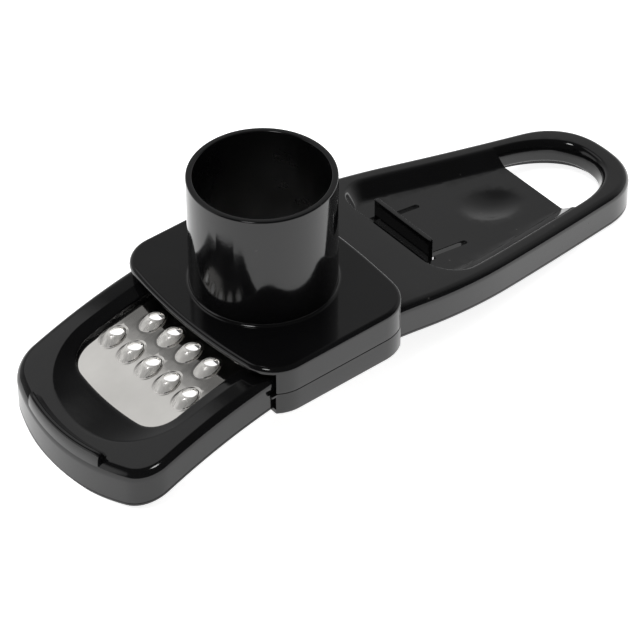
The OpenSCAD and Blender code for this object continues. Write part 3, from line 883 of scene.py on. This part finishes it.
lower_outline = carriage_loop()
lower = Shell()
low_rings = [(0.9, -CARRIAGE_T), (0.62, -CARRIAGE_T + 0.05), (0.3, -CARRIAGE_T + 0.22),
             (0.08, -CARRIAGE_T + 0.52), (0, -CARRIAGE_T + 0.9), (0, -12), (0, -SEAM - 0.2),
             (0.06, -SEAM - 0.06), (0.2, -SEAM - 0.01)]
lower.strip([level(inset(lower_outline, i), z) for i, z in low_rings])
lower.area(inset(lower_outline, 0.9), [], flat(-CARRIAGE_T), step=None)
lower.area(inset(lower_outline, 0.2), [], flat(-SEAM - 0.01), step=None)
lower_obj = lower.build("Carriage_Bottom", 35)
channel = Shell()
arched_block(channel, -40, 40, -CHANNEL, CHANNEL, 5, BASE_T + 0.2, 60)
cut(lower_obj, channel.build("cutter"))
for x0, x1, half in ((-60, -FLOOR_REACH, CHANNEL), (FLOOR_REACH, 60, CHANNEL),
                     (-DROP_HALF_L, DROP_HALF_L, DROP_HALF_W)):
    cut(lower_obj, box_cutter(x0, x1, half, -20, -5))
# the ledge on each side that fills the gap between the base and the seam
ledge = Shell()
for s in (-1, 1):
    y0, y1 = sorted((s * (BASE_HALF_W + 0.25), s * (CHANNEL + 0.2)))
    slab(ledge, box_loop(LEDGE_FRONT, LEDGE_BACK, y0, y1, 0.25),
         [(0.15, -SEAM - 0.02), (0, -SEAM - 0.15), (0, -SEAM - 0.75), (0.15, -SEAM - 0.9)], part)
ledge_obj = ledge.build("ledge", 30)
merge(lower_obj, ledge_obj)
level_normals(lower_obj)
finish_piece(lower_obj, "carriage", "slider_lower_shell", slider_black)

# the retainer under the blade is shown as the CAD made it
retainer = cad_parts["blade_retainer"]
retainer.data.materials.clear()
retainer.data.materials.append(base_black)


# stake heads that hold the retainer, seen from below
STAKE_X, STAKE_Y, RETAINER_T = (-46, -10, 26), 21.7, 1.5


def stakes():
    s = Shell()
    dome = [(0.05, -0.75), (0.7, -0.68), (1.15, -0.4), (1.4, 0.0), (1.4, 0.25)]
    for x in STAKE_X:
        for y in (-STAKE_Y, STAKE_Y):
            z = surface_z(x, SKIN + BLADE_T + RETAINER_T)
            rings = [[part(x + u, y + v, z + h) for u, v in circle(r, 20)] for r, h in dome]
            s.strip(rings)
            s.cap(rings[0])
            s.cap(rings[-1])
    return s.build("Blade_Stakes", 40)


finish_piece(stakes(), "base", None, base_black)

# ---------------------------------------------------------------------------
# Camera
# ---------------------------------------------------------------------------
# angles in radians, the lens in millimetres and the distance from the hopper's axis in metres
AZ, EL, ROLL = 0.6613, 0.7019, -0.0173
FOCAL, DISTANCE = 187.44, 0.8802
AIM_RIGHT, AIM_UP = 0.01616, -0.01208
target = Vector(part(0, 0, 0))
toward = Vector((-math.sin(AZ) * math.cos(EL), -math.cos(AZ) * math.cos(EL), math.sin(EL)))
right = Vector((math.cos(AZ), -math.sin(AZ), 0))
up = toward.cross(right)
right, up = (right * math.cos(ROLL) + up * math.sin(ROLL), -right * math.sin(ROLL) + up * math.cos(ROLL))
look = (-toward + right * AIM_RIGHT + up * AIM_UP).normalized()
cam_x = look.cross(up).normalized()
cam_y = cam_x.cross(look)
cam = bpy.data.objects.new("Camera", bpy.data.cameras.new("Camera"))
cam.data.sensor_width, cam.data.lens = 36, FOCAL
cam.data.clip_end = 20
rot = Matrix((cam_x, cam_y, -look)).transposed()
cam.matrix_world = Matrix.Translation(target + toward * DISTANCE) @ rot.to_4x4()
bpy.context.scene.collection.objects.link(cam)
bpy.context.scene.camera = cam

# ---------------------------------------------------------------------------
# Floor and studio light
# ---------------------------------------------------------------------------
floor_mesh = bpy.data.meshes.new("Floor")
floor_mesh.from_pydata([(-6, -6, 0), (6, -6, 0), (6, 6, 0), (-6, 6, 0)], [], [(0, 1, 2, 3)])
floor = bpy.data.objects.new("Floor", floor_mesh)
bpy.context.scene.collection.objects.link(floor)
m, nodes, links, p = nodes_of("Floor_White")
p.inputs["Base Color"].default_value = (0.85, 0.85, 0.85, 1)
p.inputs["Emission Color"].default_value = (1, 1, 1, 1)
p.inputs["Emission Strength"].default_value = 0.85
p.inputs["Roughness"].default_value = 0.9
p.inputs["Specular IOR Level"].default_value = 0.0
floor.data.materials.append(m)

# The room is dim on the camera's side and overhead and grey on the far side; the floor is lit white.
world = bpy.data.worlds.new("Studio")
bpy.context.scene.world = world
world.use_nodes = True
wn, wl = world.node_tree.nodes, world.node_tree.links
sky = wn["Background"]
sky.inputs["Color"].default_value = (1, 1, 1, 1)
coord = wn.new("ShaderNodeTexCoord")
direction = coord.outputs["Generated"]


def math_node(kind, a, b):
    n = wn.new("ShaderNodeMath")
    n.operation = kind
    for socket, value in zip(n.inputs, (a, b)):
        if isinstance(value, (int, float)):
            socket.default_value = value
        else:
            wl.new(value, socket)
    return n.outputs[0]


def towards(azimuth, elevation):
    """Unit direction; azimuth is from +Y towards +X, in degrees."""
    a, e = math.radians(azimuth), math.radians(elevation)
    return (math.sin(a) * math.cos(e), math.cos(a) * math.cos(e), math.sin(e))


def facing(vector, points):
    """A ramp over the angle in degrees from a direction."""
    dot = wn.new("ShaderNodeVectorMath")
    dot.operation = "DOT_PRODUCT"
    dot.inputs[1].default_value = vector
    wl.new(direction, dot.inputs[0])
    angle = math_node("DIVIDE", math_node("ARCCOSINE", dot.outputs["Value"], 0), math.pi)
    r = ramp(wn, [(deg / 180, value) for deg, value in points])
    wl.new(angle, r.inputs["Fac"])
    return r.outputs["Color"]


far_side = facing(towards(math.degrees(AZ), 0), [(0, 1.0), (60, 1.0), (85, 0.0), (180, 0.0)])
by_height = facing((0, 0, 1), [(0, 0.03), (28, 0.05), (40, 0.13), (48, 0.27), (62, 0.38), (90, 0.55)])
wall = math_node("MULTIPLY", far_side, by_height)
panel = math_node("MULTIPLY", facing(towards(-16, 53), [(0, 1.0), (12, 1.0), (17, 0.0)]), 0.62)
key = math_node("MULTIPLY", facing(towards(248, 62), [(0, 1.0), (5, 1.0), (7, 0.0)]), 13.0)
side = math_node("MULTIPLY", facing(towards(300, 10), [(0, 1.0), (14, 1.0), (22, 0.0)]), 0.8)
total = math_node("ADD", math_node("ADD", wall, panel),
                  math_node("ADD", key, math_node("ADD", side, 0.045)))
rays = wn.new("ShaderNodeLightPath")
wl.new(total, sky.inputs["Strength"])
backdrop = wn.new("ShaderNodeBackground")
backdrop.inputs["Color"].default_value = (1, 1, 1, 1)
blend = wn.new("ShaderNodeMixShader")
wl.new(rays.outputs["Is Camera Ray"], blend.inputs["Fac"])
wl.new(sky.outputs["Background"], blend.inputs[1])
wl.new(backdrop.outputs["Background"], blend.inputs[2])
wl.new(blend.outputs["Shader"], wn["World Output"].inputs["Surface"])
bpy.context.scene.view_settings.view_transform = "Standard"


# a wide soft light overhead, which leaves no highlight of its own
light = bpy.data.lights.new("Overhead", "AREA")
light.shape, light.size, light.size_y, light.energy = "RECTANGLE", 3.2, 3.2, 28
lamp = bpy.data.objects.new("Overhead", light)
bpy.context.scene.collection.objects.link(lamp)
place = Vector((0.1, 0.1, 1.6))
lamp.matrix_world = Matrix.Translation(place) @ (-place).to_track_quat("-Z", "Y").to_matrix().to_4x4()
lamp.visible_glossy = False
